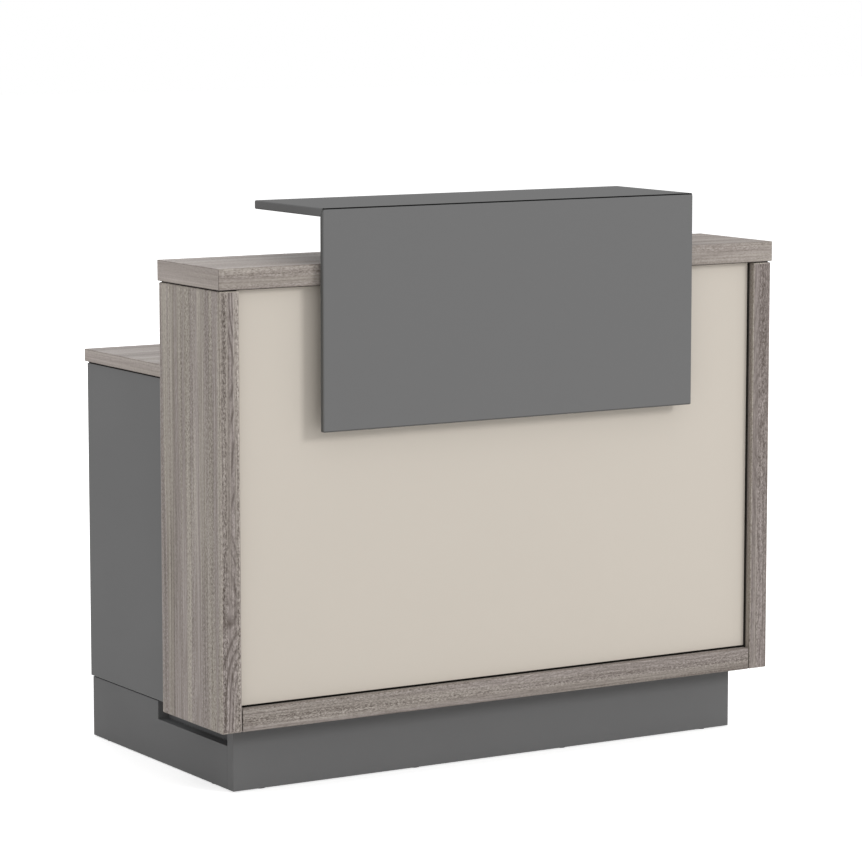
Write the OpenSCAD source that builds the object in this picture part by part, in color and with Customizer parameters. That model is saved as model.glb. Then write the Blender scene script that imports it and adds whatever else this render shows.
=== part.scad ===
// Reception desk: counter box on a plinth, worksurface with a drawer pedestal, overlay in front.
// Millimetres, Z up, X along the width, the visitor's side faces -Y.
// Origin on the floor, in the middle of the outline.

/* [Desk] */
// Overall width, over the counter top
desk_w = 1200; // [1140:20:1400]
// Overall depth, from the overlay face to the user's edge
desk_d = 650; // [640:10:720]
// Height of the worksurface
desk_h = 750; // [730:5:770]
// Thickness of the worksurface
top_t = 24; // [22:1:27]
// Air between the worksurface and each post
top_gap = 4; // [3:1:7]
// Thickness of the common grey board
board_t = 18; // [16:1:19]

/* [Counter] */
// Height of the counter top
counter_h = 950; // [940:5:980]
// Thickness of the counter top
counter_t = 38; // [34:1:44]
// Depth of the counter top
counter_d = 235; // [225:5:250]
// Thickness of the posts
post_t = 40; // [36:1:44]
// Thickness of the bottom board
base_t = 41; // [38:1:44]
// How far the posts stand back under the counter edge
frame_in = 2; // [1:1:4]
// How far the front panel stands back in its frame
panel_in = 16; // [12:1:20]
// Shadow gap round the front panel
panel_gap = 3; // [2:1:5]
// Width and depth of the battens behind the front panel
batten_w = 30; // [24:1:36]
batten_t = 20; // [16:1:24]
// How far the pigeonhole dividers stand back
divider_set = 8; // [4:1:14]

/* [Overlay] */
// Width of the overlay
overlay_w = 800; // [700:20:900]
// Height of its front panel
overlay_h = 400; // [380:5:420]
// Thickness of its front panel
overlay_t = 12; // [12:1:14]
// Thickness of its shelf
shelf_t = 16; // [14:1:19]
// Air between the overlay and the counter edge
overlay_gap = 6; // [4:1:8]
// Rise of the shelf above the counter
overlay_rise = 100; // [90:5:120]
// Diameter of the standoff tubes
standoff_d = 30; // [24:1:36]

/* [Plinth] */
// Height of the plinth
plinth_h = 121; // [113:2:129]
// How far the plinth stands in from each end
plinth_in = 52; // [52:1:54]
// How far it stands back under the counter edge
plinth_set = 56; // [50:1:62]
// End of the side notch, from the counter edge
notch_l = 350; // [320:5:370]
// Height of the side boards where the notch is
notch_h = 81; // [74:1:86]

/* [Pedestal] */
// How far each gable stands in from the end
gable_in = 50; // [50:1:52]
// Thickness of the gables
gable_t = 24; // [22:1:27]
// Clear width for the drawers
ped_w = 380; // [360:5:400]
// Height of each small drawer front
small_h = 136; // [128:2:142]
// Gap round the drawer fronts
draw_gap = 3; // [2:0.5:4]
// Thickness of the drawer box boards
box_t = 12; // [10:1:14]
// Width of the drawer handles
handle_w = 160; // [140:5:180]

/* [Hidden] */
$fn = 48;
// Overrun of every cut, and the clearances
over = 1;
fit = 0.05;
air = 0.3;

// Planes across the width, all measured from the middle
half_w = desk_w / 2;
post_out = half_w - frame_in;
post_in = post_out - post_t;
post_mid = (post_out + post_in) / 2;
panel_x = post_in - panel_gap;
top_x = post_in - top_gap;
gable_out = half_w - gable_in;
gable_x = gable_out - gable_t;
plinth_x = half_w - plinth_in;
// The plinth's outer boards line up inside with the gables
plinth_t = plinth_x - gable_x;
plinth_core_x = gable_x - board_t;
ped_x = -gable_x + ped_w;
ped_out = ped_x + board_t;
ped_mid = (ped_x - gable_x) / 2;

// Planes along the depth
face_y = -desk_d / 2;
user_y = desk_d / 2;
overlay_y = face_y + overlay_t;
counter_y = overlay_y + overlay_gap;
counter_back = counter_y + counter_d;
post_y = counter_y + frame_in;
post_back = counter_back - frame_in;
panel_y = post_y + panel_in;
panel_back = panel_y + board_t;
batten_back = panel_back + batten_t;
gable_set = 4.5;
gable_back = user_y - gable_set;
plinth_y = counter_y + plinth_set;
plinth_core_y = plinth_y + plinth_t;
plinth_back = gable_back - gable_set;
plinth_rear_y = plinth_back - plinth_t;
notch_back = counter_y + notch_l;

// Heights
counter_z = counter_h - counter_t;
top_z = desk_h - top_t;
base_top = plinth_h + base_t;
base_mid = plinth_h + base_t / 2;
shelf_h = counter_h + overlay_rise;
shelf_z = shelf_h - shelf_t;
overlay_z = shelf_h - overlay_h;
glide_h = 1;
glide_d = 20;
glide_in = 60;
ped_z = plinth_h + board_t;
gable_drop = 3;
gable_z = plinth_h - gable_drop;

// Dowels between the posts and the boards they carry
dowel_d = 10;
dowel_l = 40;
dowel_in = 45;
dowel_ys = [post_y + dowel_in, post_back - dowel_in];

// Bolts that hold the overlay, through spacers, to the front panel
bolt_d = 6;
bolt_head_d = 12;
bolt_head_h = 4;
bolt_bite = 8;
bolt_in = 60;
bolt_drop = 50;
bolt_x = overlay_w / 2 - bolt_in;
bolt_zs = [overlay_z + bolt_drop, counter_z - bolt_drop];
spacer_d = 20;
standoff_in = 140;
standoff_x = overlay_w / 2 - standoff_in;
standoff_set = 170;
standoff_y = counter_y + standoff_set;
flange_d = 60;
flange_h = 3;

// Drawers, from the top down
handle_room = 30;
draw_face = gable_back - handle_room;
draw_back = draw_face - board_t;
draw_x0 = -gable_x + draw_gap;
draw_x1 = ped_x - draw_gap;
low_h = top_z - ped_z - 2 * small_h - 4 * draw_gap;
front_hs = [small_h, small_h, low_h];
front_z0 = top_z - draw_gap - small_h;
front_z1 = front_z0 - draw_gap - small_h;
front_z2 = front_z1 - draw_gap - low_h;
front_zs = [front_z0, front_z1, front_z2];
box_low = 12;
box_drop = 25;
file_drop = 60;
box_drops = [box_drop, box_drop, file_drop];
runner_w = 13;
box_x0 = -gable_x + runner_w;
box_x1 = ped_x - runner_w;
box_clear = 6;
box_y = post_back + box_clear;
bottom_t = 5;
bottom_up = 10;
groove_d = 5;
rail_h = 45;
rail_t = 1.2;
rail_lip = 10;
rail_up = 20;
rail_clear = 16;
rail_y = post_back + rail_clear;
mid_u = rail_t + air;
mid_lip = 11;
mid_h = rail_h - 2 * mid_u;
inner_u = mid_u + rail_t + air;
inner_h = mid_h - 2 * mid_u;

// Drawer handles
bar_h = 12;
bar_t = 8;
foot_w = 10;
reach = 17;
handle_drop = 68;

// Lock of the top drawer and the rail its cam catches
lock_in = 55;
lock_x = draw_x1 - lock_in;
lock_drop = 40;
lock_z = front_z0 + small_h - lock_drop;
barrel_d = 17;
barrel_run = 20;
lock_face_d = 22;
lock_face_t = 2;
plug_d = 11;
key_w = 2;
key_h = 8;
key_deep = 4;
cam_l = 30;
cam_w = 12;
cam_t = 3;
lock_rail_h = 20;
lock_end = draw_back - barrel_run;

// Cable grommet
grommet_x = 300;
grommet_set = 60;
grommet_y = post_back + grommet_set;
ring_d = 60;
ring_bore = 54;
ring_ledge = 48;
ring_deep = 20;
ring_edge = 76;
ring_t = 3;
cap_t = 5;
slot_w = 24;
slot_in = 14;

// Brackets under the worksurface
bracket_l = 40;
bracket_w = 30;
bracket_t = 2.5;
screw_at = 22;
screw_d = 4;
screw_l = 14;
screw_head_d = 8;
screw_head_h = 2.5;
bracket_in = 90;
bracket_y0 = post_back + bracket_in;
bracket_y1 = gable_back - bracket_in;
bracket_x = grommet_x + bracket_in;
brackets = [
  [gable_x, bracket_y0, 180],
  [gable_x, bracket_y1, 180],
  [0, post_back, 90],
  [bracket_x, post_back, 90]
];

// Colours
wood = [0.61, 0.58, 0.56];
cream = [0.80, 0.76, 0.72];
grey = [0.43, 0.43, 0.43];
dark = [0.16, 0.16, 0.16];
pale = [0.75, 0.75, 0.74];
steel = [0.62, 0.63, 0.65];
brass = [0.72, 0.62, 0.40];
beech = [0.80, 0.66, 0.47];

// A board between two planes each way
module board(x0, x1, y0, y1, z0, z1) {
  translate([x0, y0, z0])
    cube([x1 - x0, y1 - y0, z1 - z0]);
}

// A round bar from a point, along X, Y or Z
module bar_x(x, y, z, d, l) {
  translate([x, y, z])
    rotate([0, 90, 0])
      cylinder(d = d, h = l);
}
module bar_y(x, y, z, d, l) {
  translate([x, y, z])
    rotate([-90, 0, 0])
      cylinder(d = d, h = l);
}
module bar_z(x, y, z, d, l) {
  translate([x, y, z])
    cylinder(d = d, h = l);
}

// Dowels, or with extra size their holes
module dowels(extra) {
  l = dowel_l + 2 * extra;
  d = dowel_d + 2 * extra;
  for (side = [-1, 1], y = dowel_ys) {
    bar_z(side * post_mid, y, counter_z - l / 2, d, l);
    bar_x(side * post_in - l / 2, y, base_mid, d, l);
  }
}

// Overlay bolt holes from plane to plane
module bolt_holes(d, y0, y1) {
  for (x = [-bolt_x, bolt_x], z = bolt_zs)
    bar_y(x, y0, z, d, y1 - y0);
}

// Screw shanks of all brackets
module screw_shanks(d, l) {
  for (b = brackets)
    translate([b[0], b[1], top_z])
      rotate([0, 0, b[2]]) {
        bar_z(screw_at, 0, -bracket_t - over / 2, d, l + bracket_t);
        bar_x(-l, 0, -screw_at, d, l + bracket_t);
      }
}

module counter_top() {
  color(wood)
    difference() {
      board(-half_w, half_w, counter_y, counter_back, counter_z, counter_h);
      dowels(fit);
    }
}

module post(side) {
  x = side * post_mid - post_t / 2;
  color(wood)
    difference() {
      board(x, x + post_t, post_y, post_back, plinth_h, counter_z);
      dowels(fit);
    }
}

module bottom_board() {
  color(wood)
    difference() {
      board(-post_in, post_in, post_y, post_back, plinth_h, base_top);
      dowels(fit);
    }
}

module frame_dowels() {
  color(beech)
    dowels(0);
}

module front_panel() {
  color(cream)
    difference() {
      board(-panel_x, panel_x, panel_y, panel_back, base_top + panel_gap, counter_z);
      bolt_holes(bolt_d + 2 * fit, panel_y - over, panel_back + over);
    }
}

module front_battens() {
  inner = post_in - batten_w;
  color(dark) {
    for (side = [-1, 1])
      translate([side * (post_in + inner) / 2 - batten_w / 2, panel_back, base_top])
        cube([batten_w, batten_t, counter_z - base_top]);
    board(over - inner, inner - over, panel_back, batten_back, base_top, base_top + batten_w);
  }
}

module back_panel() {
  color(grey)
    difference() {
      board(-post_in, post_in, post_back - board_t, post_back, base_top, top_z);
      screw_shanks(screw_d + 2 * fit, screw_l + fit);
    }
}

module divider(side) {
  x = side * post_in / 3 - board_t / 2;
  color(grey)
    board(x, x + board_t, panel_back, post_back - divider_set, desk_h, counter_z);
}

// The two overlay boards meet in a mitre from the outer to the inner corner
module overlay_profile(points) {
  translate([-overlay_w / 2, 0, 0])
    rotate([90, 0, 90])
      linear_extrude(overlay_w)
        polygon(points);
}

module overlay_panel() {
  color(grey)
    difference() {
      overlay_profile([
        [face_y, overlay_z], [overlay_y, overlay_z], [overlay_y, shelf_z], [face_y, shelf_h]
      ]);
      bolt_holes(bolt_d + 2 * fit, overlay_y - bolt_bite - fit, overlay_y + over);
    }
}

module overlay_shelf() {
  color(grey)
    overlay_profile([
      [overlay_y, shelf_z], [counter_back, shelf_z], [counter_back, shelf_h], [face_y, shelf_h]
    ]);
}

module overlay_standoffs() {
  color(steel)
    for (x = [-standoff_x, standoff_x]) {
      bar_z(x, standoff_y, counter_h, flange_d, flange_h);
      bar_z(x, standoff_y, counter_h, standoff_d, shelf_z - counter_h);
      bar_z(x, standoff_y, shelf_z - flange_h, flange_d, flange_h);
    }
}

module overlay_spacers() {
  color(steel)
    difference() {
      bolt_holes(spacer_d, overlay_y, panel_y);
      bolt_holes(bolt_d + 2 * fit, overlay_y - over, panel_y + over);
    }
}

module overlay_bolts() {
  color(steel) {
    bolt_holes(bolt_d, overlay_y - bolt_bite, panel_back + over);
    bolt_holes(bolt_head_d, panel_back, panel_back + bolt_head_h);
  }
}

module worksurface() {
  notch_x = post_in - batten_w;
  color(wood)
    difference() {
      board(-top_x, top_x, panel_back, user_y, top_z, desk_h);
      board(notch_x, half_w, panel_back - over, batten_back, top_z - over, desk_h + over);
      board(-half_w, -notch_x, panel_back - over, batten_back, top_z - over, desk_h + over);
      bar_z(grommet_x, grommet_y, top_z - over, ring_d + 2 * fit, top_t + 2 * over);
      screw_shanks(screw_d + 2 * fit, screw_l + fit);
    }
}

module gable(side) {
  x = side * (gable_x + gable_t / 2) - gable_t / 2;
  color(grey)
    difference() {
      board(x, x + gable_t, post_back, gable_back, gable_z, top_z);
      screw_shanks(screw_d + 2 * fit, screw_l + fit);
    }
}

module pedestal_side() {
  color(grey)
    board(ped_x, ped_out, post_back, gable_back, plinth_h, top_z);
}

module pedestal_bottom() {
  color(grey)
    board(-gable_x, ped_x, post_back, gable_back, plinth_h, ped_z);
}

module lock_rail() {
  color(grey)
    board(-gable_x, ped_x, lock_end + over, draw_back - over, top_z - lock_rail_h, top_z);
}

module brackets() {
  color(steel)
    for (b = brackets)
      translate([b[0], b[1], top_z])
        rotate([0, 0, b[2]])
          difference() {
            board(0, bracket_l, -bracket_w / 2, bracket_w / 2, -bracket_l, 0);
            board(bracket_t, bracket_l + over, -bracket_w, bracket_w, -bracket_l - over, -bracket_t);
            bar_z(screw_at, 0, -bracket_t - over, screw_d + 2 * fit, bracket_t + 2 * over);
            bar_x(-over, 0, -screw_at, screw_d + 2 * fit, bracket_t + 2 * over);
          }
}

module bracket_screws() {
  color(steel) {
    screw_shanks(screw_d, screw_l);
    for (b = brackets)
      translate([b[0], b[1], top_z])
        rotate([0, 0, b[2]]) {
          bar_z(screw_at, 0, -bracket_t - screw_head_h, screw_head_d, screw_head_h);
          bar_x(bracket_t, 0, -screw_at, screw_head_d, screw_head_h);
        }
  }
}

module grommet_ring() {
  color(dark)
    difference() {
      union() {
        bar_z(grommet_x, grommet_y, desk_h - ring_deep, ring_d, ring_deep + ring_t);
        bar_z(grommet_x, grommet_y, desk_h, ring_edge, ring_t);
      }
      bar_z(grommet_x, grommet_y, desk_h + ring_t - cap_t - air, ring_bore, cap_t + air + over);
      bar_z(grommet_x, grommet_y, desk_h - ring_deep - over, ring_ledge, ring_deep + over);
    }
}

module grommet_cap() {
  cap_d = ring_bore - 2 * air;
  color(dark)
    difference() {
      bar_z(grommet_x, grommet_y, desk_h + ring_t - cap_t, cap_d, cap_t);
      translate([grommet_x - slot_w / 2, grommet_y + cap_d / 2 - slot_in, desk_h - cap_t])
        cube([slot_w, slot_in + over, cap_t + ring_t + over]);
    }
}

module plinth_front() {
  color(grey)
    board(-plinth_x, plinth_x, plinth_y, plinth_core_y, glide_h, plinth_h);
}

module plinth_side(side) {
  x = side * (plinth_x - plinth_t / 2) - plinth_t / 2;
  color(grey)
    difference() {
      board(x, x + plinth_t, plinth_core_y, plinth_back, glide_h, gable_z);
      board(x - over, x + plinth_t + over, plinth_core_y - over, notch_back, notch_h, plinth_h);
    }
}

module plinth_core(side) {
  x = side * (plinth_core_x + board_t / 2) - board_t / 2;
  color(dark)
    board(x, x + board_t, plinth_core_y, plinth_rear_y, glide_h, plinth_h);
}

module plinth_cross() {
  color(dark)
    board(ped_out - board_t, ped_out, plinth_core_y, plinth_rear_y, glide_h, plinth_h);
}

module plinth_rear() {
  color(grey)
    board(-gable_x, ped_out, plinth_rear_y, plinth_back, glide_h, plinth_h);
}

module glides() {
  side_mid = plinth_x - plinth_t / 2;
  rear_mid = (plinth_rear_y + plinth_back) / 2;
  front_mid = (plinth_y + plinth_core_y) / 2;
  color(dark) {
    for (share = [-1, -1 / 3, 1 / 3, 1])
      bar_z(share * (plinth_x - glide_in), front_mid, 0, glide_d, glide_h);
    for (side = [-1, 1], y = [plinth_core_y + glide_in, plinth_back - glide_in])
      bar_z(side * side_mid, y, 0, glide_d, glide_h);
    bar_z(ped_mid, rear_mid, 0, glide_d, glide_h);
    bar_z(ped_out - glide_in, rear_mid, 0, glide_d, glide_h);
  }
}

// A pair of C rails: u runs from the carcass face to the drawer side
module rail_pair(k, u0, u1, h, web_u) {
  z = front_zs[k] + box_low + rail_up + (rail_h - h) / 2;
  pocket0 = web_u == u0 ? u0 + rail_t : u0 - over;
  pocket1 = web_u == u0 ? u1 + over : u1 - rail_t;
  for (side = [0, 1])
    translate([ped_mid, 0, 0])
      mirror([side, 0, 0])
        translate([-ped_w / 2, 0, 0])
          difference() {
            board(u0, u1, rail_y, draw_back, z, z + h);
            board(pocket0, pocket1, rail_y - over, draw_back + over, z + rail_t, z + h - rail_t);
          }
}

module runners_outer() {
  color(steel)
    for (k = [0, 1, 2])
      rail_pair(k, 0, rail_lip, rail_h, 0);
}

module runners_mid(k) {
  color(steel)
    rail_pair(k, mid_u, mid_lip, mid_h, mid_u);
}

module runners_inner(k) {
  color(steel)
    rail_pair(k, inner_u, runner_w, inner_h, runner_w);
}

module drawer_front(k) {
  z = front_zs[k];
  color(grey)
    difference() {
      board(draw_x0, draw_x1, draw_back, draw_face, z, z + front_hs[k]);
      bar_y(lock_x, draw_back - over, lock_z, barrel_d + 2 * fit, board_t + 2 * over);
    }
}

module drawer_side(k, side) {
  z = front_zs[k] + box_low;
  top = front_zs[k] + front_hs[k] - box_drops[k];
  x = side < 0 ? box_x0 : box_x1 - box_t;
  groove_x = side < 0 ? x + box_t - groove_d : x - over;
  color(pale)
    difference() {
      board(x, x + box_t, box_y, draw_back, z, top);
      translate([groove_x, box_y - over, z + bottom_up])
        cube([groove_d + over, draw_back - box_y + 2 * over, bottom_t + 2 * fit]);
    }
}

module drawer_back(k) {
  z = front_zs[k] + box_low + bottom_up + bottom_t + 2 * fit;
  top = front_zs[k] + front_hs[k] - box_drops[k];
  color(pale)
    board(box_x0 + box_t, box_x1 - box_t, box_y, box_y + box_t, z, top);
}

module drawer_bottom(k) {
  z = front_zs[k] + box_low + bottom_up;
  in = box_t - groove_d + fit;
  color(pale)
    board(box_x0 + in, box_x1 - in, box_y, draw_back, z, z + bottom_t);
}

module handle(k) {
  z = front_zs[k] + front_hs[k] - handle_drop;
  y = draw_face + reach;
  x0 = ped_mid - handle_w / 2;
  x1 = ped_mid + handle_w / 2;
  color(steel) {
    board(x0, x1, y, y + bar_t, z, z + bar_h);
    board(x0, x0 + foot_w, draw_face, y + bar_t, z, z + bar_h);
    board(x1 - foot_w, x1, draw_face, y + bar_t, z, z + bar_h);
  }
}

module lock_barrel() {
  color(steel)
    difference() {
      union() {
        bar_y(lock_x, lock_end, lock_z, barrel_d, draw_face - lock_end);
        bar_y(lock_x, draw_face, lock_z, lock_face_d, lock_face_t);
      }
      bar_y(lock_x, lock_end - over, lock_z, plug_d + 2 * fit, draw_face - lock_end + 2 * lock_face_t);
    }
}

module lock_plug() {
  end = lock_end - air - cam_t;
  color(brass)
    difference() {
      union() {
        bar_y(lock_x, end, lock_z, plug_d, draw_face + lock_face_t - end);
        bar_y(lock_x, end, lock_z, cam_w, cam_t);
        board(lock_x - cam_l, lock_x, end, end + cam_t, lock_z - cam_w / 2, lock_z + cam_w / 2);
      }
      translate([lock_x - key_w / 2, draw_face + lock_face_t - key_deep, lock_z - key_h / 2])
        cube([key_w, key_deep + over, key_h]);
    }
}

counter_top();
post(-1);  // post_left
post(1);  // post_right
bottom_board();
front_panel();
front_battens();
back_panel();
divider(-1);  // divider_left
divider(1);  // divider_right
frame_dowels();
overlay_panel();
overlay_shelf();
overlay_standoffs();
overlay_spacers();
overlay_bolts();
worksurface();
gable(-1);  // gable_left
gable(1);  // gable_right
pedestal_side();
pedestal_bottom();
lock_rail();
brackets();
bracket_screws();
grommet_ring();
grommet_cap();
plinth_front();
plinth_side(-1);  // plinth_side_left
plinth_side(1);  // plinth_side_right
plinth_core(-1);  // plinth_core_left
plinth_core(1);  // plinth_core_right
plinth_cross();
plinth_rear();
glides();
runners_outer();
runners_mid(0);  // runners_mid_top
runners_mid(1);  // runners_mid_middle
runners_mid(2);  // runners_mid_low
drawer_front(0);  // top_front
drawer_side(0, -1);  // top_side_left
drawer_side(0, 1);  // top_side_right
drawer_back(0);  // top_back
drawer_bottom(0);  // top_bottom
handle(0);  // top_handle
runners_inner(0);  // top_runners
drawer_front(1);  // middle_front
drawer_side(1, -1);  // middle_side_left
drawer_side(1, 1);  // middle_side_right
drawer_back(1);  // middle_back
drawer_bottom(1);  // middle_bottom
handle(1);  // middle_handle
runners_inner(1);  // middle_runners
drawer_front(2);  // low_front
drawer_side(2, -1);  // low_side_left
drawer_side(2, 1);  // low_side_right
drawer_back(2);  // low_back
drawer_bottom(2);  // low_bottom
handle(2);  // low_handle
runners_inner(2);  // low_runners
lock_barrel();
lock_plug();
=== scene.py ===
import bpy
import bmesh
from math import pi, radians
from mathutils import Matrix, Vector


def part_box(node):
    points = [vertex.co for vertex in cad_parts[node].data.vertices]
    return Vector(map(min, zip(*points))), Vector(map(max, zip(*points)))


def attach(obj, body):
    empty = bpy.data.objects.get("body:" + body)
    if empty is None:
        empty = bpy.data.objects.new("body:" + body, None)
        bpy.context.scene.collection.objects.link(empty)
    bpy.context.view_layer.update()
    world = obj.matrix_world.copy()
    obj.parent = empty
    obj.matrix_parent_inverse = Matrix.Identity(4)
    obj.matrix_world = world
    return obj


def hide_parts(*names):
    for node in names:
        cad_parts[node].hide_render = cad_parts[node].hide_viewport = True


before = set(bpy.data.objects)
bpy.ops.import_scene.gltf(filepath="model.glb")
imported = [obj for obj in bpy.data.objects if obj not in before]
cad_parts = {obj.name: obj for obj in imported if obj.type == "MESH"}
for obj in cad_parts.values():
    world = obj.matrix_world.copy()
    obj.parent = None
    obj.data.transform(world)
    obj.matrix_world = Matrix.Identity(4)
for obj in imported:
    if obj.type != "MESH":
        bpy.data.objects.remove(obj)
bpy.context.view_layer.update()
scene = bpy.context.scene

# Values that several pieces share, in metres and radians
fine_edge = 0.0008
slab_edge = 0.0015
through = 0.08
hair = 1e-5
quarter = pi / 2


# Colours are written as on a paint card, 0 to 255, and turned into linear light
def tint(red, green, blue):
    def linear(level):
        share = level / 255
        return share / 12.92 if share <= 0.04045 else ((share + 0.055) / 1.055) ** 2.4
    return (linear(red), linear(green), linear(blue), 1)


# Node helpers: each adds a node at its place in the node editor
def add(tree, kind, at, **settings):
    node = tree.nodes.new(kind)
    node.location = at
    for name, value in settings.items():
        setattr(node, name, value)
    return node


# Links a socket to another socket, or sets it to a value; fill does that for inputs by their names
def feed(tree, socket, value):
    if isinstance(value, bpy.types.NodeSocket):
        tree.links.new(value, socket)
    else:
        socket.default_value = value


def fill(tree, node, values):
    for label, value in values.items():
        feed(tree, node.inputs[label], value)


def maths(tree, at, operation, *values):
    node = add(tree, "ShaderNodeMath", at, operation=operation)
    for socket, value in zip(node.inputs, values):
        feed(tree, socket, value)
    return node.outputs[0]


def noise(tree, at, vector, scale, detail, rough=0.5):
    node = add(tree, "ShaderNodeTexNoise", at)
    fill(tree, node, {"Vector": vector, "Scale": scale, "Detail": detail, "Roughness": rough})
    return node.outputs["Fac"]


# A value moved from the levels of one pair to those of another
def span(tree, at, value, before, after):
    node = add(tree, "ShaderNodeMapRange", at)
    fill(tree, node, {"Value": value, "From Min": before[0], "From Max": before[1],
                      "To Min": after[0], "To Max": after[1]})
    return node.outputs[0]


# A grey ramp with a stop at each (place, level)
def ramp(tree, at, value, stops):
    node = add(tree, "ShaderNodeValToRGB", at)
    band = node.color_ramp
    while len(band.elements) < len(stops):
        band.elements.new(0.5)
    for element, (place, grey) in zip(band.elements, stops):
        element.position = place
        element.color = (grey, grey, grey, 1)
    feed(tree, node.inputs[0], value)
    return node.outputs[0]


def mix(tree, at, kind, share, one, two):
    node = add(tree, "ShaderNodeMix", at, data_type="RGBA", blend_type=kind)
    for number, value in ((0, share), (6, one), (7, two)):
        feed(tree, node.inputs[number], value)
    return node.outputs[2]


def toned(tree, at, tone, amount):
    node = add(tree, "ShaderNodeVectorMath", at, operation="SCALE")
    feed(tree, node.inputs[0], tone)
    feed(tree, node.inputs["Scale"], amount)
    return node.outputs[0]


# A group takes a vector and the named colours and numbers, and puts out colour, roughness and height
def group(name, inputs):
    tree = bpy.data.node_groups.new(name, "ShaderNodeTree")
    sockets = tree.interface
    sockets.new_socket(name="Vector", in_out="INPUT", socket_type="NodeSocketVector")
    for label, value in inputs.items():
        kind = "NodeSocketColor" if isinstance(value, tuple) else "NodeSocketFloat"
        sockets.new_socket(name=label, in_out="INPUT", socket_type=kind).default_value = value
    sockets.new_socket(name="Color", in_out="OUTPUT", socket_type="NodeSocketColor")
    sockets.new_socket(name="Roughness", in_out="OUTPUT", socket_type="NodeSocketFloat")
    sockets.new_socket(name="Height", in_out="OUTPUT", socket_type="NodeSocketFloat")
    start = add(tree, "NodeGroupInput", (-1400, 0))
    end = add(tree, "NodeGroupOutput", (900, 0))
    return tree, start.outputs, end


# Ash print: the grain runs along the group's X, and all sizes are in metres
def make_ash_grain():
    tree, given, end = group("ash grain", {
        "Light": tint(184, 177, 171), "Dark": tint(124, 114, 107), "Rosy": tint(176, 166, 165),
        "Line Strength": 0.5, "Fleck Strength": 0.5})

    # Noise drawn out along the grain, by how often it changes in a metre along and across
    def streaky(height, along, across, detail, rough):
        drawn = add(tree, "ShaderNodeVectorMath", (-1100, height), operation="MULTIPLY")
        feed(tree, drawn.inputs[0], given["Vector"])
        feed(tree, drawn.inputs[1], (along, across, across))
        return noise(tree, (-900, height), drawn.outputs[0], 1, detail, rough)

    strips = streaky(950, 0.6, 55, 2, 0.5)
    bands = streaky(700, 0.8, 26, 3, 0.6)
    streaks = streaky(450, 2.6, 290, 3, 0.6)
    flecks = streaky(200, 190, 430, 2, 0.7)
    pores = streaky(-50, 60, 520, 1, 0.5)
    tones = streaky(-250, 1.3, 48, 2, 0.5)
    drift = streaky(-450, 2.0, 7, 2, 0.5)

    # Growth lines: 105 in a metre across the grain, bent by a slow drift into arches
    parts = add(tree, "ShaderNodeSeparateXYZ", (-900, -700))
    feed(tree, parts.inputs[0], given["Vector"])
    across = maths(tree, (-700, -700), "ADD", parts.outputs["Y"], parts.outputs["Z"])
    bend = maths(tree, (-550, -550), "MULTIPLY", drift, 22)
    count = maths(tree, (-400, -700), "MULTIPLY_ADD", across, 105, bend)
    wave = maths(tree, (-250, -700), "PINGPONG", count, 0.5)
    lines = ramp(tree, (-100, -700), wave, [(0.0, 0.2), (0.12, 0.55), (0.3, 1.0)])
    fade = ramp(tree, (-400, -350), tones, [(0.46, 0.0), (0.56, 1.0)])
    line_strength = maths(tree, (-100, -400), "MULTIPLY", fade, given["Line Strength"])

    # Flecks, which stand out in some strips along the grain
    most = maths(tree, (-900, 1150), "MULTIPLY", given["Fleck Strength"], 3.6)
    patch = span(tree, (-700, 950), strips, (0.40, 0.60), (0.5, most))
    centred = maths(tree, (-700, 150), "SUBTRACT", flecks, 0.5)
    flecks = maths(tree, (-550, 150), "MULTIPLY_ADD", centred, patch, 0.5)

    # The layers add up to a shade, 0 dark to 1 light, and lines and pores darken it
    total = -0.35
    for layer, weight, height in ((bands, 0.50, 700), (streaks, 0.60, 500), (flecks, 0.60, 300)):
        total = maths(tree, (-600, height), "MULTIPLY_ADD", layer, weight, total)
    shade = ramp(tree, (-400, 500), total, [(0.26, 0.0), (0.76, 1.0)])
    lined = mix(tree, (-100, 300), "MULTIPLY", line_strength, shade, lines)
    dashes = ramp(tree, (-400, 0), pores, [(0.30, 0.35), (0.40, 1.0)])
    pored = mix(tree, (100, 200), "MULTIPLY", given["Fleck Strength"], lined, dashes)

    # The light tone turns rosy in places
    blush = ramp(tree, (-100, 0), tones, [(0.44, 0.0), (0.56, 1.0)])
    pale = mix(tree, (100, 450), "MIX", blush, given["Light"], given["Rosy"])
    fill(tree, end, {"Color": mix(tree, (350, 200), "MIX", pored, given["Dark"], pale),
                     "Roughness": span(tree, (350, -100), pored, (0, 1), (0.66, 0.54)),
                     "Height": pored})
    return tree


# Sprayed or moulded skin: a faint cloud in the tone and a fine orange peel
def make_skin():
    tree, given, end = group("fine skin", {
        "Tone": tint(118, 118, 118), "Cloud": 0.04, "Grain Size": 700.0, "Smooth": 0.35, "Rough": 0.45})
    cloud = noise(tree, (-900, 300), given["Vector"], 6, 4)
    shift = maths(tree, (-650, 300), "SUBTRACT", cloud, 0.5)
    amount = maths(tree, (-450, 300), "MULTIPLY_ADD", shift, given["Cloud"], 1)
    fill(tree, end, {
        "Color": toned(tree, (-200, 300), given["Tone"], amount),
        "Roughness": span(tree, (-200, -100), cloud, (0.3, 0.7), (given["Smooth"], given["Rough"])),
        "Height": noise(tree, (-900, -100), given["Vector"], given["Grain Size"], 2)})
    return tree


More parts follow.
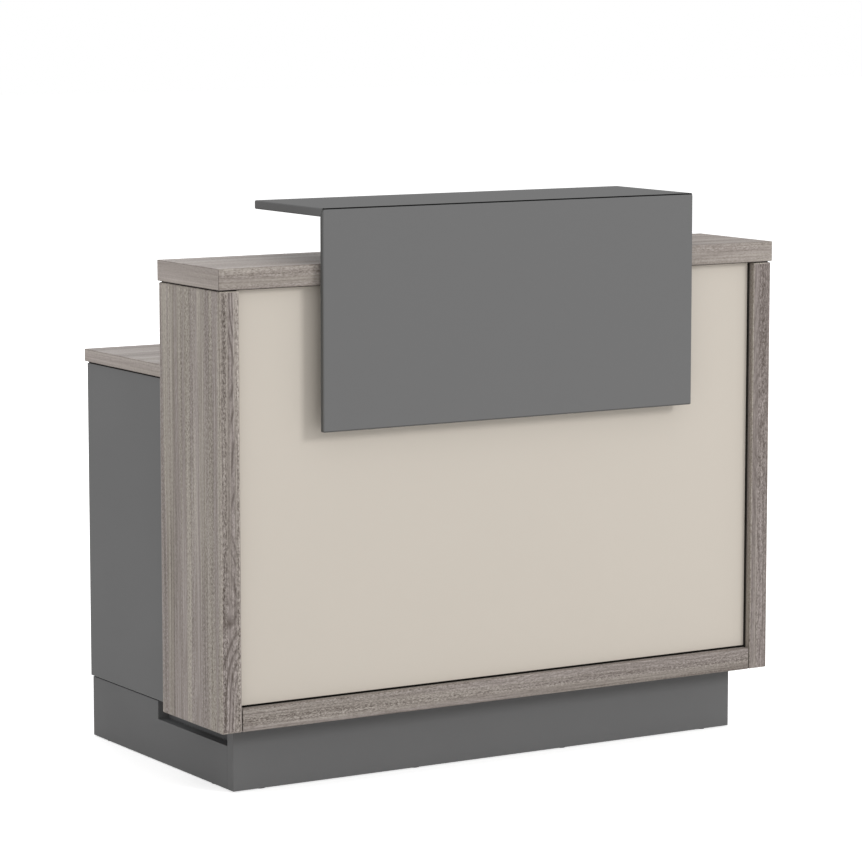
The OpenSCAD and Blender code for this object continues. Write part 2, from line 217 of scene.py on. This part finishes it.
# Brushed metal: fine scratches along the group's X
def make_brushing():
    tree, given, end = group("brushing", {"Tone": tint(190, 190, 192), "Stretch": 40.0})
    parts = add(tree, "ShaderNodeSeparateXYZ", (-1100, 0))
    feed(tree, parts.inputs[0], given["Vector"])
    along = maths(tree, (-900, 100), "DIVIDE", parts.outputs["X"], given["Stretch"])
    joined = add(tree, "ShaderNodeCombineXYZ", (-700, 0))
    fill(tree, joined, {"X": along, "Y": parts.outputs["Y"], "Z": parts.outputs["Z"]})
    scratches = noise(tree, (-500, 0), joined.outputs[0], 1600, 3)
    amount = span(tree, (-250, 200), scratches, (0, 1), (0.88, 1.08))
    fill(tree, end, {"Color": toned(tree, (0, 200), given["Tone"], amount),
                     "Roughness": span(tree, (-250, -100), scratches, (0, 1), (0.26, 0.42)),
                     "Height": scratches})
    return tree


ash_grain = make_ash_grain()
skin = make_skin()
brushing = make_brushing()


# A material: the pattern is turned and placed on Object coordinates and feeds one shader
def finish(name, pattern, values, bump, turn=(0, 0, 0), place=(0, 0, 0), metallic=0.0, specular=0.5):
    material = bpy.data.materials.new(name)
    material.use_nodes = True
    tree = material.node_tree
    tree.nodes.clear()
    coords = add(tree, "ShaderNodeTexCoord", (-900, 0))
    mapping = add(tree, "ShaderNodeMapping", (-700, 0))
    effect = add(tree, "ShaderNodeGroup", (-400, 0), node_tree=pattern)
    relief = add(tree, "ShaderNodeBump", (0, -250))
    shader = add(tree, "ShaderNodeBsdfPrincipled", (300, 0))
    out = add(tree, "ShaderNodeOutputMaterial", (600, 0))
    fill(tree, mapping, {"Vector": coords.outputs["Object"], "Rotation": turn, "Location": place})
    fill(tree, effect, {**values, "Vector": mapping.outputs[0]})
    fill(tree, relief, {"Strength": bump, "Distance": 0.0002, "Height": effect.outputs["Height"]})
    fill(tree, shader, {"Base Color": effect.outputs["Color"], "Roughness": effect.outputs["Roughness"],
                        "Metallic": metallic, "Specular IOR Level": specular, "Normal": relief.outputs[0]})
    feed(tree, out.inputs["Surface"], shader.outputs[0])
    return material


# An ash finish, by how its grain lies, its three tones and the strength of its lines and flecks
def ash(name, lie, light, rosy, dark, lines, flecks, specular=0.08, bump=0.25):
    turn, place = lie
    values = {"Light": tint(*light), "Rosy": tint(*rosy), "Dark": tint(*dark),
              "Line Strength": lines, "Fleck Strength": flecks}
    return finish(name, ash_grain, values, bump, turn, place, specular=specular)


# A painted, laminated or moulded finish; rough is from and to
def coat(name, tone, cloud, rough, specular, grain_size=700.0, bump=0.02):
    values = {"Tone": tint(*tone), "Cloud": cloud, "Grain Size": grain_size,
              "Smooth": rough[0], "Rough": rough[1]}
    return finish(name, skin, values, bump, specular=specular)


def metal(name, tone, stretch, bump):
    return finish(name, brushing, {"Tone": tint(*tone), "Stretch": stretch}, bump, metallic=1.0)


# How the grain lies: the turn that brings it to an axis, and the part of the print that shows
plain = ((0, 0, 0), (0, 0, 0))
along_x = ((0, 0, 0), (0.9, 0.11, 0.05))
along_y = ((0, 0, -quarter), (0.2, 0.7, 0.3))
along_z = ((0, quarter, 0), (0.1, 0.4, 0.9))
front_z = ((0, quarter, 0), (0.1, 0.46, 0.9))
rim_z = ((0, quarter, 0), (0.3, 0.4, 0.9))

# These ash copies share one print, with tones set face by face for how light falls on each, which is painted
# light and shade: lightest on the post sides and the end faces, and darker on the top faces than on the
# fronts
wood_x = ash("ash_along_x", along_x, (188, 180, 172), (184, 175, 170), (121, 112, 106), 0.4, 0.3)
wood_top = ash("ash_top_face", along_x, (178, 170, 163), (174, 165, 161), (113, 104, 98), 0.4, 0.3)
wood_slab = ash("ash_counter_front", along_x, (200, 192, 183), (196, 187, 181), (124, 115, 108), 0.4, 0.42)
wood_rail = ash("ash_rail", along_x, (187, 179, 171), (182, 173, 168), (104, 95, 89), 0.4, 0.6)
wood_y = ash("ash_along_y", along_y, (205, 196, 188), (201, 191, 186), (145, 136, 129), 0.3, 0.2)
wood_z = ash("ash_along_z", along_z, (212, 204, 193), (203, 193, 189), (118, 109, 102), 0.35, 0.44)
# Painted shade: a darker copy of the posts' ash for their inner faces in front of the panel
wood_inside_shaded = ash("ash_post_inside", along_z, (176, 168, 159), (170, 161, 157), (106, 98, 92), 0.35, 0.44,
                  specular=0.0, bump=0.2)
wood_front = ash("ash_post_front", front_z, (202, 193, 185), (194, 184, 180), (89, 80, 74), 1.0, 0.6)
wood_straight = ash("ash_straight_grain", front_z, (184, 175, 168), (178, 168, 164), (89, 80, 74), 0.45, 0.6)
# Painted highlight: a lighter copy of the ash for the posts' rounded rear edges
wood_rim_highlight = ash("ash_rounded_edge", rim_z, (206, 198, 190), (203, 194, 188), (148, 139, 133), 0.3, 0.3,
               bump=0.2)
beech = ash("dowel_beech", plain, (214, 184, 148), (210, 178, 142), (176, 142, 104), 0.2, 0.2,
            specular=0.5, bump=0.1)

# Painted shade: a dark tone for the faces in the gap round the cream panel, where shade falls
panel_gap = coat("panel_gap", (66, 62, 58), 0.1, (0.6, 0.8), 0.0)
# Painted shade: a dark tone for the faces inside the shadow grooves between parts, and for the cream panel's
# top and bottom faces
groove_shade = coat("dark_seam", (44, 41, 38), 0.1, (0.6, 0.8), 0.05)
cream = coat("cream_laminate", (210, 202, 191), 0.02, (0.5, 0.6), 0.08, 900.0, 0.05)
overlay_grey = coat("overlay_lacquer", (118, 118, 118), 0.015, (0.4, 0.5), 0.0, bump=0.03)
# Painted shade: a darker copy of the overlay grey for the panel's end faces and its lower rounded edge
overlay_end = coat("overlay_end", (96, 96, 95), 0.05, (0.5, 0.6), 0.04, bump=0.03)
# A dark band at the mitred edge: partly the mitre's dark joint line, partly painted shade on the rounded
# edge
overlay_rim = coat("overlay_rim", (34, 34, 34), 0.05, (0.4, 0.5), 0.0, bump=0.03)
gable_grey = coat("gable_board", (118, 118, 118), 0.03, (0.45, 0.55), 0.05, bump=0.05)
# Painted shade: the plinth's boards take the gable grey set a little darker for the shade they stand in
plinth_grey_shaded = coat("plinth_board", (113, 113, 113), 0.04, (0.42, 0.55), 0.05, bump=0.05)
core_grey = coat("plinth_core_board", (108, 109, 110), 0.1, (0.55, 0.75), 0.1)
black_board = coat("black_board", (40, 40, 40), 0.2, (0.55, 0.75), 0.1)
drawer_board = coat("drawer_board", (196, 196, 194), 0.04, (0.45, 0.6), 0.2, 500.0, 0.08)
black_plastic = coat("black_plastic", (34, 34, 35), 0.1, (0.42, 0.55), 0.4, 1500.0, 0.15)

zinc = metal("zinc_steel", (186, 188, 191), 4.0, 0.05)
aluminium = metal("satin_aluminium", (182, 182, 184), 60.0, 0.06)
nickel = metal("nickel_plate", (176, 173, 168), 2.0, 0.02)


# Modelling helpers
# Leaves edit mode with nothing selected
def clear():
    if bpy.context.object and bpy.context.object.mode != "OBJECT":
        bpy.ops.object.mode_set(mode="OBJECT")
    bpy.ops.object.select_all(action="DESELECT")


def use(piece):
    clear()
    piece.select_set(True)
    bpy.context.view_layer.objects.active = piece


def settle(piece):
    use(piece)
    bpy.ops.object.transform_apply(location=True, rotation=True, scale=True)


def block(name, low, high):
    clear()
    low, high = Vector(low), Vector(high)
    bpy.ops.mesh.primitive_cube_add(size=1, location=(low + high) / 2)
    piece = bpy.context.object
    piece.name = piece.data.name = name
    piece.scale = high - low
    settle(piece)
    return piece


# Selects faces or edges of the piece in edit mode by a test on their middle and their direction, where
# a part of 0.9 or more along an axis means that the face looks, or the edge runs, that way
def pick(piece, kind, test):
    use(piece)
    bpy.ops.object.mode_set(mode="EDIT")
    bpy.ops.mesh.select_mode(type=kind)
    bpy.ops.mesh.select_all(action="DESELECT")
    shape = bmesh.from_edit_mesh(piece.data)
    if kind == "FACE":
        for face in shape.faces:
            face.select = test(face.calc_center_median(), face.normal)
    else:
        for edge in shape.edges:
            one, two = edge.verts[0].co, edge.verts[1].co
            edge.select = test((one + two) / 2, (two - one).normalized())
    shape.select_flush_mode()
    bmesh.update_edit_mesh(piece.data)


def everywhere(place, way):
    return True


def ease(piece, radius, test=everywhere, steps=3):
    pick(piece, "EDGE", test)
    bpy.ops.mesh.bevel(offset=radius, offset_type="OFFSET", segments=steps, profile=0.5, affect="EDGES",
                       clamp_overlap=True)
    clear()


def cut(piece, place, way):
    pick(piece, "FACE", everywhere)
    bpy.ops.mesh.bisect(plane_co=place, plane_no=way)
    clear()


def pull(piece, test, move):
    pick(piece, "FACE", test)
    bpy.ops.mesh.extrude_region_move(TRANSFORM_OT_translate={"value": move})
    clear()


def bore(piece, cutter):
    use(piece)
    tool = piece.modifiers.new("bore", "BOOLEAN")
    tool.operation = "DIFFERENCE"
    tool.solver = "EXACT"
    tool.object = cutter
    bpy.ops.object.modifier_apply(modifier=tool.name)
    bpy.data.objects.remove(cutter, do_unlink=True)


def smooth(piece, angle=40):
    use(piece)
    bpy.ops.object.shade_smooth_by_angle(angle=radians(angle))
    tool = piece.modifiers.new("even faces", "WEIGHTED_NORMAL")
    tool.keep_sharp = True
    bpy.ops.object.modifier_apply(modifier=tool.name)


# Paints faces by their direction: finishes for X, Y and Z faces, and one for the rounded edges
def paint(piece, x, y, z, edge=None):
    kinds = []
    for material in (x, y, z, edge or x):
        if material not in kinds:
            kinds.append(material)
    piece.data.materials.clear()
    for material in kinds:
        piece.data.materials.append(material)
    for face in piece.data.polygons:
        steep = [abs(v) for v in face.normal]
        axis = steep.index(max(steep))
        if max(steep) > 0.995 or edge is None:
            face.material_index = kinds.index((x, y, z)[axis])
        else:
            face.material_index = kinds.index(edge)
    return piece


# Says which body the piece moves with and hides the node that it stands for
def seat(piece, body, node):
    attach(piece, body)
    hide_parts(node)


# A board in the place of a CAD node, with eased edges, shortened by the given amount at some ends
def board(node, radius, short=(0, 0, 0), both=False):
    low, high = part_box(node)
    short = Vector(short)
    piece = block(node + "_board", low + short if both else low, high - short)
    ease(piece, radius)
    return piece


def plain_board(node, material):
    piece = board(node, fine_edge)
    smooth(piece)
    return paint(piece, material, material, material)


# A shadow groove at one end: the end face is stepped in and brought back out to the board's full length
def step_out(piece, way, width, deep):
    way = Vector(way)
    pick(piece, "FACE", lambda place, normal: normal.dot(way) > 0.999)
    bpy.ops.mesh.inset(thickness=deep, depth=0)
    bpy.ops.mesh.extrude_region_move(TRANSFORM_OT_translate={"value": way * width})
    clear()


# Paints the faces that pass a test on their middle and direction
def stain(piece, material, test):
    if material.name not in piece.data.materials:
        piece.data.materials.append(material)
    number = piece.data.materials.find(material.name)
    for face in piece.data.polygons:
        if test(face.center, face.normal):
            face.material_index = number


# A turned piece: an outline of (radius, height) points, drawn point by point and spun about Z
def turned(name, middle, outline):
    clear()
    bpy.ops.mesh.primitive_plane_add(size=0.001, location=(0, 0, 0))
    piece = bpy.context.object
    piece.name = piece.data.name = name
    bpy.ops.object.mode_set(mode="EDIT")
    bpy.ops.mesh.select_mode(type="VERT")
    bpy.ops.mesh.select_all(action="SELECT")
    bpy.ops.mesh.merge(type="CENTER")
    at = Vector((outline[0][0], 0, outline[0][1]))
    bpy.ops.transform.translate(value=at)
    for radius, height in outline[1:]:
        to = Vector((radius, 0, height))
        bpy.ops.mesh.extrude_region_move(TRANSFORM_OT_translate={"value": to - at})
        at = to
    bpy.ops.mesh.select_all(action="SELECT")
    bpy.ops.mesh.spin(steps=64, angle=2 * pi, center=(0, 0, 0), axis=(0, 0, 1))
    bpy.ops.mesh.select_all(action="SELECT")
    bpy.ops.mesh.remove_doubles(threshold=hair)
    bpy.ops.mesh.normals_make_consistent(inside=False)
    bpy.ops.object.mode_set(mode="OBJECT")
    piece.location = middle
    settle(piece)
    return piece


# A copy also takes over what is set on its piece, so it is made before the piece is seated
def copy_to(piece, name, move):
    use(piece)
    bpy.ops.object.duplicate(linked=False)
    twin = bpy.context.object
    twin.name = twin.data.name = name
    twin.location = move
    settle(twin)
    return twin


# A copy of the piece made for one node, set in the place of another node of the same size
def copy_for(piece, node, other):
    return copy_to(piece, piece.name.replace(node, other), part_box(other)[0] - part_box(node)[0])


# Counter box, with a shadow groove under its top and a strip of painted shade where the front panel stands
panel_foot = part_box("front_panel")[0].z
panel_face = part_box("front_panel")[0].y
panel_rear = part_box("front_panel")[1].y
top_groove = 0.0024
deep_inset = 0.003


def make_counter_top():
    top = board("counter_top", slab_edge)
    smooth(top)
    seat(paint(top, wood_y, wood_slab, wood_top, wood_top), "desk", "counter_top")


def make_posts():
    strip = 0.0032
    round_edge = 0.0022
    inset = 0.0018
    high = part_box("post_left")[1]
    left = board("post_left", round_edge, (0, 0, top_groove))
    step_out(left, (0, 0, 1), top_groove, inset)
    cut(left, (0, panel_face - strip, 0), (0, 1, 0))
    cut(left, (0, panel_rear, 0), (0, 1, 0))
    smooth(left)
    right = copy_for(left, "post_left", "post_right")

    # The inner side of a post looks towards the middle of the desk
    def inner(place, way):
        return way.x * place.x < -0.5

    for post, node, front in ((left, "post_left", wood_front), (right, "post_right", wood_straight)):
        paint(post, wood_z, front, wood_z, wood_z)
        # Painted highlight on the rounded rear edges; painted shade in the top groove, on the inner faces in
        # front of the panel and on their strip in the panel's gap
        stain(post, wood_rim_highlight, lambda place, way: place.y > high.y - round_edge and abs(way.y) < 0.99)
        stain(post, groove_shade, lambda place, way: place.z > high.z - top_groove - hair)
        stain(post, wood_inside_shaded, lambda place, way: inner(place, way) and place.y < panel_face)
        stain(post, panel_gap, lambda place, way: (inner(place, way)
                                                   and panel_face - strip < place.y < panel_rear))
        seat(post, "desk", node)


# The bottom board has a narrow groove at each post and a strip of painted shade under the front panel
def make_bottom_board():
    groove = 0.0016
    rail_edge = 0.002
    behind = 0.0005
    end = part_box("bottom_board")[1].x
    rail = board("bottom_board", rail_edge, (groove, 0, 0), True)
    step_out(rail, (1, 0, 0), groove, deep_inset)
    step_out(rail, (-1, 0, 0), groove, deep_inset)
    cut(rail, (0, panel_face + behind, 0), (0, 1, 0))
    cut(rail, (0, panel_rear, 0), (0, 1, 0))
    smooth(rail)
    paint(rail, wood_rail, wood_rail, wood_rail)
    # Painted shade under the front panel and on the faces of the grooves at the posts
    stain(rail, panel_gap, lambda place, way: panel_face < place.y < panel_rear and way.z > 0.5)
    stain(rail, groove_shade, lambda place, way: abs(place.x) > end - groove - hair)
    seat(rail, "desk", "bottom_board")


# The cream panel's edges get painted shade, and its lowest millimetre is painted as dark as the shaded gap
def make_front_panel():
    dark = 0.0011
    panel = board("front_panel", fine_edge, (0, 0, top_groove))
    step_out(panel, (0, 0, 1), top_groove, deep_inset)
    cut(panel, (0, 0, panel_foot + dark), (0, 0, 1))
    smooth(panel)
    paint(panel, panel_gap, cream, groove_shade, cream)
    stain(panel, panel_gap, lambda place, way: place.z < panel_foot + dark)
    seat(panel, "desk", "front_panel")


def make_counter_inside():
    back = plain_board("back_panel", gable_grey)
    left = plain_board("divider_left", gable_grey)
    right = copy_for(left, "divider_left", "divider_right")
    seat(back, "desk", "back_panel")
    seat(left, "desk", "divider_left")
    seat(right, "desk", "divider_right")


# Overlay: two boards that meet in a mitre, whose inner line lies behind the panel and under the shelf
overlay_edge = 0.0026
mitre_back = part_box("overlay_panel")[1].y
mitre_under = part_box("overlay_shelf")[0].z


def make_overlay_front():
    rim = 0.003
    low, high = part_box("overlay_panel")
    panel = block("overlay_front", low, high)
    pick(panel, "EDGE", lambda place, way: (place.y > high.y - hair and place.z > high.z - hair
                                            and abs(way.x) > 0.9))
    bpy.ops.transform.translate(value=(0, 0, mitre_under - high.z))
    clear()
    ease(panel, overlay_edge)
    smooth(panel)
    # The end faces and the lower rounded edge get painted shade; the top rounded edge is dark, partly the
    # mitre's joint line and partly painted shade
    paint(panel, overlay_end, overlay_grey, overlay_grey, overlay_grey)
    stain(panel, overlay_rim, lambda place, way: place.z > high.z - rim and abs(way.y) < 0.98)
    stain(panel, overlay_end, lambda place, way: place.z < low.z + overlay_edge and abs(way.y) < 0.98)
    seat(panel, "desk", "overlay_panel")


def make_overlay_shelf():
    rim = 0.004
    low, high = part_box("overlay_shelf")
    shelf = block("overlay_top", low, high)
    pick(shelf, "EDGE", lambda place, way: (place.y < low.y + hair and place.z < low.z + hair
                                            and abs(way.x) > 0.9))
    bpy.ops.transform.translate(value=(0, mitre_back - low.y, 0))
    clear()
    ease(shelf, overlay_edge)
    smooth(shelf)
    paint(shelf, overlay_grey, overlay_grey, overlay_grey)
    # The front rounded edge at the mitre is dark, partly the joint line and partly painted shade
    stain(shelf, overlay_rim, lambda place, way: (place.y < low.y + rim and abs(way.z) < 0.98
                                                  and abs(way.x) < 0.9))
    seat(shelf, "desk", "overlay_shelf")


# Flanged tubes between the counter and the overlay shelf, with a small cove where tube and flange meet
def make_standoffs():
    low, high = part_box("overlay_standoffs")
    height = high.z - low.z
    flange = (high.y - low.y) / 2
    rim = flange - fine_edge
    plate = 0.003
    tube = 0.015
    lower = [(0, 0), (rim, 0), (flange, fine_edge), (flange, plate - fine_edge), (rim, plate),
             (tube + 0.0012, plate), (tube + 0.0003, plate + 0.0004), (tube, plate + 0.0015)]
    outline = lower + [(radius, height - level) for radius, level in reversed(lower)]
    first = turned("standoff_left", (low.x + flange, (low.y + high.y) / 2, low.z), outline)
    smooth(first)
    first.data.materials.append(aluminium)
    second = copy_to(first, "standoff_right", (high.x - low.x - 2 * flange, 0, 0))
    seat(first, "desk", "overlay_standoffs")
    seat(second, "desk", "overlay_standoffs")


# Worksurface, with the hole for the cable outlet
outlet_low, outlet_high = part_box("grommet_ring")
outlet_x = (outlet_low.x + outlet_high.x) / 2
outlet_y = (outlet_low.y + outlet_high.y) / 2


def make_worksurface():
    hole = 0.0301
    piece = board("worksurface", slab_edge)
    clear()
    bpy.ops.mesh.primitive_cylinder_add(vertices=64, radius=hole, depth=through,
                                        location=(outlet_x, outlet_y, outlet_low.z))
    bore(piece, bpy.context.object)
    smooth(piece)
    seat(paint(piece, wood_y, wood_x, wood_top, wood_x), "desk", "worksurface")


# Cable outlet: the ring's sleeve stands in the hole, and its ledge carries the cap
def make_outlet_ring():
    rim = (outlet_high.x - outlet_low.x) / 2
    sleeve = 0.0298
    inside = 0.027
    ledge = 0.024
    low, top = outlet_low.z, outlet_high.z
    deck = top - 0.003
    ledge_top = top - 0.0053
    outline = [(sleeve, low), (sleeve, deck), (rim, deck), (rim, deck + 0.001),
               (rim - 0.0018, top - 0.0003), (rim - 0.003, top), (inside + 0.0005, top),
               (inside, top - 0.0004), (inside, ledge_top), (ledge, ledge_top), (ledge, low), (sleeve, low)]
    ring = turned("outlet_ring", (outlet_x, outlet_y, 0), outline)
    smooth(ring, 30)
    ring.data.materials.append(black_plastic)
    seat(ring, "desk", "grommet_ring")


# The cap has a shallow groove round its face and a slot with rounded inner corners
def make_outlet_cap():
    radius = 0.0266
    groove = 0.0222
    top = outlet_high.z
    under = top - 0.005
    groove_floor = top - 0.0003
    outline = [(0, under), (radius - 0.0002, under), (radius, under + 0.0002), (radius, top - 0.0005),
               (radius - 0.0005, top), (groove + 0.0003, top), (groove, groove_floor),
               (groove - 0.001, groove_floor), (groove - 0.0013, top), (0, top)]
    cap = turned("outlet_cap", (outlet_x, outlet_y, 0), outline)
    half_slot = 0.012
    slot_in = 0.014
    corner = 0.004
    inner = outlet_y + radius - slot_in
    slot = block("slot_cutter", (outlet_x - half_slot, inner, under - corner),
                 (outlet_x + half_slot, outlet_y + 1.5 * radius, top + corner))
    ease(slot, corner, lambda place, way: abs(way.z) > 0.9 and place.y < inner + corner, 6)
    bore(cap, slot)
    smooth(cap, 30)
    cap.data.materials.append(black_plastic)
    seat(cap, "cable_cap", "grommet_cap")


# Gables, with a shadow groove under the worksurface
def make_gables():
    groove = 0.003
    inset = 0.0015
    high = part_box("gable_left")[1]
    left = board("gable_left", fine_edge, (0, 0, groove))
    step_out(left, (0, 0, 1), groove, inset)
    smooth(left)
    paint(left, gable_grey, gable_grey, gable_grey)
    # Painted shade on the faces of the groove under the worksurface
    stain(left, groove_shade, lambda place, way: place.z > high.z - groove - hair)
    right = copy_for(left, "gable_left", "gable_right")
    seat(left, "desk", "gable_left")
    seat(right, "desk", "gable_right")


def make_plain_boards():
    # The plinth's front and rear boards get the grey painted darker as shade
    for node, material in (("pedestal_side", gable_grey), ("pedestal_bottom", gable_grey),
                           ("plinth_front", plinth_grey_shaded), ("plinth_rear", plinth_grey_shaded)):
        seat(plain_board(node, material), "desk", node)


# The plinth's side boards are notched along the top under the counter box and grooved under the gable
def make_plinth_sides():
    groove = 0.002
    inset = 0.003
    notch_long = 0.350
    lip = 0.081
    low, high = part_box("plinth_side_left")
    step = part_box("counter_top")[0].y + notch_long
    left = block("plinth_side_left_board", (low.x, step, low.z), high - Vector((0, 0, groove)))
    cut(left, (0, 0, lip), (0, 0, 1))
    pull(left, lambda place, way: way.y < -0.9 and place.z < lip, (0, low.y - step, 0))
    ease(left, fine_edge, lambda place, way: not (abs(place.z - lip) < hair and place.y > step + hair))
    pick(left, "FACE", lambda place, way: way.z > 0.999 and place.z > high.z - groove - hair)
    bpy.ops.mesh.inset(thickness=inset, depth=0)
    bpy.ops.mesh.extrude_region_move(TRANSFORM_OT_translate={"value": (0, 0, groove)})
    clear()
    smooth(left)
    paint(left, plinth_grey_shaded, plinth_grey_shaded, plinth_grey_shaded)
    # Painted shade in the groove under the gable, and on the notch's top face, which takes the core's darker
    # grey
    stain(left, groove_shade, lambda place, way: place.z > high.z - groove - hair)
    stain(left, core_grey, lambda place, way: way.z > 0.9 and abs(place.z - lip) < hair)
    right = copy_for(left, "plinth_side_left", "plinth_side_right")
    seat(left, "desk", "plinth_side_left")
    seat(right, "desk", "plinth_side_right")


# Drawers: the front of each, with the lock's hole in the top one
def make_front(name, lock):
    hole = 0.00855
    front_edge = 0.001
    node = name + "_front"
    front = board(node, front_edge)
    if lock:
        low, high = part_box("lock_barrel")
        middle = (low + high) / 2
        clear()
        bpy.ops.mesh.primitive_cylinder_add(vertices=48, radius=hole, depth=through,
                                            location=(middle.x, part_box(node)[1].y, middle.z),
                                            rotation=(quarter, 0, 0))
        bore(front, bpy.context.object)
    smooth(front)
    seat(paint(front, gable_grey, gable_grey, gable_grey), name + "_drawer", node)


# A bow handle: a flat bar whose two feet are pulled out to the drawer's front
def make_handle():
    low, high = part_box("top_handle")
    bar = 0.008
    foot = 0.010
    bar_edge = 0.0016
    inner = (low.x + foot, high.x - foot)
    handle = block("top_handle_bow", (low.x, high.y - bar, low.z), high)
    cut(handle, (inner[0], 0, 0), (1, 0, 0))
    cut(handle, (inner[1], 0, 0), (1, 0, 0))
    pull(handle, lambda place, way: way.y < -0.9 and not inner[0] < place.x < inner[1],
         (0, low.y + bar - high.y, 0))

    # All edges are eased but those on the drawer's front and the ones that the cuts left in the flat bar
    def outer(place, way):
        at_cut = min(abs(place.x - inner[0]), abs(place.x - inner[1])) < hair
        in_bar = place.y > high.y - bar + hair
        return place.y > low.y + hair and not (at_cut and in_bar)

    ease(handle, bar_edge, outer)
    smooth(handle)
    handle.data.materials.append(aluminium)
    handles = {"top": handle}
    for name in ("middle", "low"):
        handles[name] = copy_for(handle, "top_handle", name + "_handle")
    for name, piece in handles.items():
        seat(piece, name + "_drawer", name + "_handle")


make_counter_top()
make_posts()
make_bottom_board()
make_front_panel()
make_counter_inside()
make_overlay_front()
make_overlay_shelf()
make_standoffs()
make_worksurface()
make_outlet_ring()
make_outlet_cap()
make_gables()
make_plain_boards()
make_plinth_sides()
make_front("top", True)
make_front("middle", False)
make_front("low", False)
make_handle()

# CAD nodes that keep their shape get their finish
kept = [
    (black_board, ["front_battens"]),
    (core_grey, ["plinth_core_left", "plinth_core_right", "plinth_cross"]),
    (gable_grey, ["lock_rail"]),
    (beech, ["frame_dowels"]),
    (aluminium, ["overlay_spacers"]),
    (black_plastic, ["glides"]),
    (nickel, ["lock_barrel", "lock_plug"]),
    (zinc, ["overlay_bolts", "brackets", "bracket_screws", "runners_outer"]),
]
for drawer in ("top", "middle", "low"):
    boards = [drawer + part for part in ("_side_left", "_side_right", "_back", "_bottom")]
    kept.append((zinc, ["runners_mid_" + drawer, drawer + "_runners"]))
    kept.append((drawer_board, boards))
for material, nodes in kept:
    for node in nodes:
        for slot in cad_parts[node].material_slots:
            slot.material = material


# The white of the floor and the world is seen only by the camera, in reflections and through glass
def seen_rays(tree):
    path = add(tree, "ShaderNodeLightPath", (-800, 0))
    seen = maths(tree, (-600, 0), "MAXIMUM", path.outputs["Is Camera Ray"], path.outputs["Is Glossy Ray"])
    return maths(tree, (-400, 0), "MAXIMUM", seen, path.outputs["Is Transmission Ray"])


def make_floor():
    paper_glow = 0.6
    floor_size = 60
    floor_level = -0.0005
    clear()
    bpy.ops.mesh.primitive_plane_add(size=floor_size, location=(0, 0, floor_level))
    floor = bpy.context.object
    floor.name = "studio_floor"
    material = bpy.data.materials.new("studio_floor")
    material.use_nodes = True
    tree = material.node_tree
    tree.nodes.clear()
    out = add(tree, "ShaderNodeOutputMaterial", (600, 0))
    paper = add(tree, "ShaderNodeBsdfDiffuse", (0, 100))
    glow = add(tree, "ShaderNodeEmission", (0, -100))
    both = add(tree, "ShaderNodeAddShader", (300, 0))
    fill(tree, paper, {"Color": (0.8, 0.8, 0.8, 1)})
    fill(tree, glow, {"Color": (1, 1, 1, 1),
                      "Strength": maths(tree, (-200, 0), "MULTIPLY", seen_rays(tree), paper_glow)})
    feed(tree, both.inputs[0], paper.outputs[0])
    feed(tree, both.inputs[1], glow.outputs[0])
    feed(tree, out.inputs["Surface"], both.outputs[0])
    floor.data.materials.append(material)


def make_world():
    daylight = 0.71
    world = bpy.data.worlds.new("studio")
    scene.world = world
    world.use_nodes = True
    tree = world.node_tree
    tree.nodes.clear()
    out = add(tree, "ShaderNodeOutputWorld", (600, 0))
    light = add(tree, "ShaderNodeBackground", (0, 100))
    white = add(tree, "ShaderNodeBackground", (0, -100))
    blend = add(tree, "ShaderNodeMixShader", (300, 0))
    fill(tree, light, {"Color": (1, 1, 1, 1), "Strength": daylight})
    fill(tree, white, {"Color": (1, 1, 1, 1), "Strength": 1.0})
    for number, value in enumerate((seen_rays(tree), light.outputs[0], white.outputs[0])):
        feed(tree, blend.inputs[number], value)
    feed(tree, out.inputs["Surface"], blend.outputs[0])


def lamp(name, place, aim, size, power):
    data = bpy.data.lights.new(name, "AREA")
    data.shape = "SQUARE"
    data.size = size
    data.energy = power
    made = bpy.data.objects.new(name, data)
    scene.collection.objects.link(made)
    made.location = place
    made.rotation_euler = (Vector(aim) - Vector(place)).to_track_quat("-Z", "Y").to_euler()


def make_lights():
    lamp("soft_top", (0.0, 0.6, 5.0), (0, 0, 0.6), 4.0, 33)
    lamp("soft_front", (6.3, -10.0, 5.6), (0, 0, 0.5), 3.1, 485)
    lamp("soft_rear", (2.5, 10.0, 4.5), (0, 0, 0.5), 4.0, 260)


# The camera stands in front of the desk, left of its middle, and looks a little down
def make_camera():
    down = 7.463
    aside = 31.389
    data = bpy.data.cameras.new("camera")
    data.sensor_width = 36
    data.lens = 151.2415
    made = bpy.data.objects.new("camera", data)
    scene.collection.objects.link(made)
    made.location = (-3.56355, -5.87581, 1.49023)
    made.rotation_euler = (radians(90 - down), 0, radians(-aside))
    scene.camera = made


make_floor()
make_world()
make_lights()
make_camera()
scene.view_settings.view_transform = "Standard"
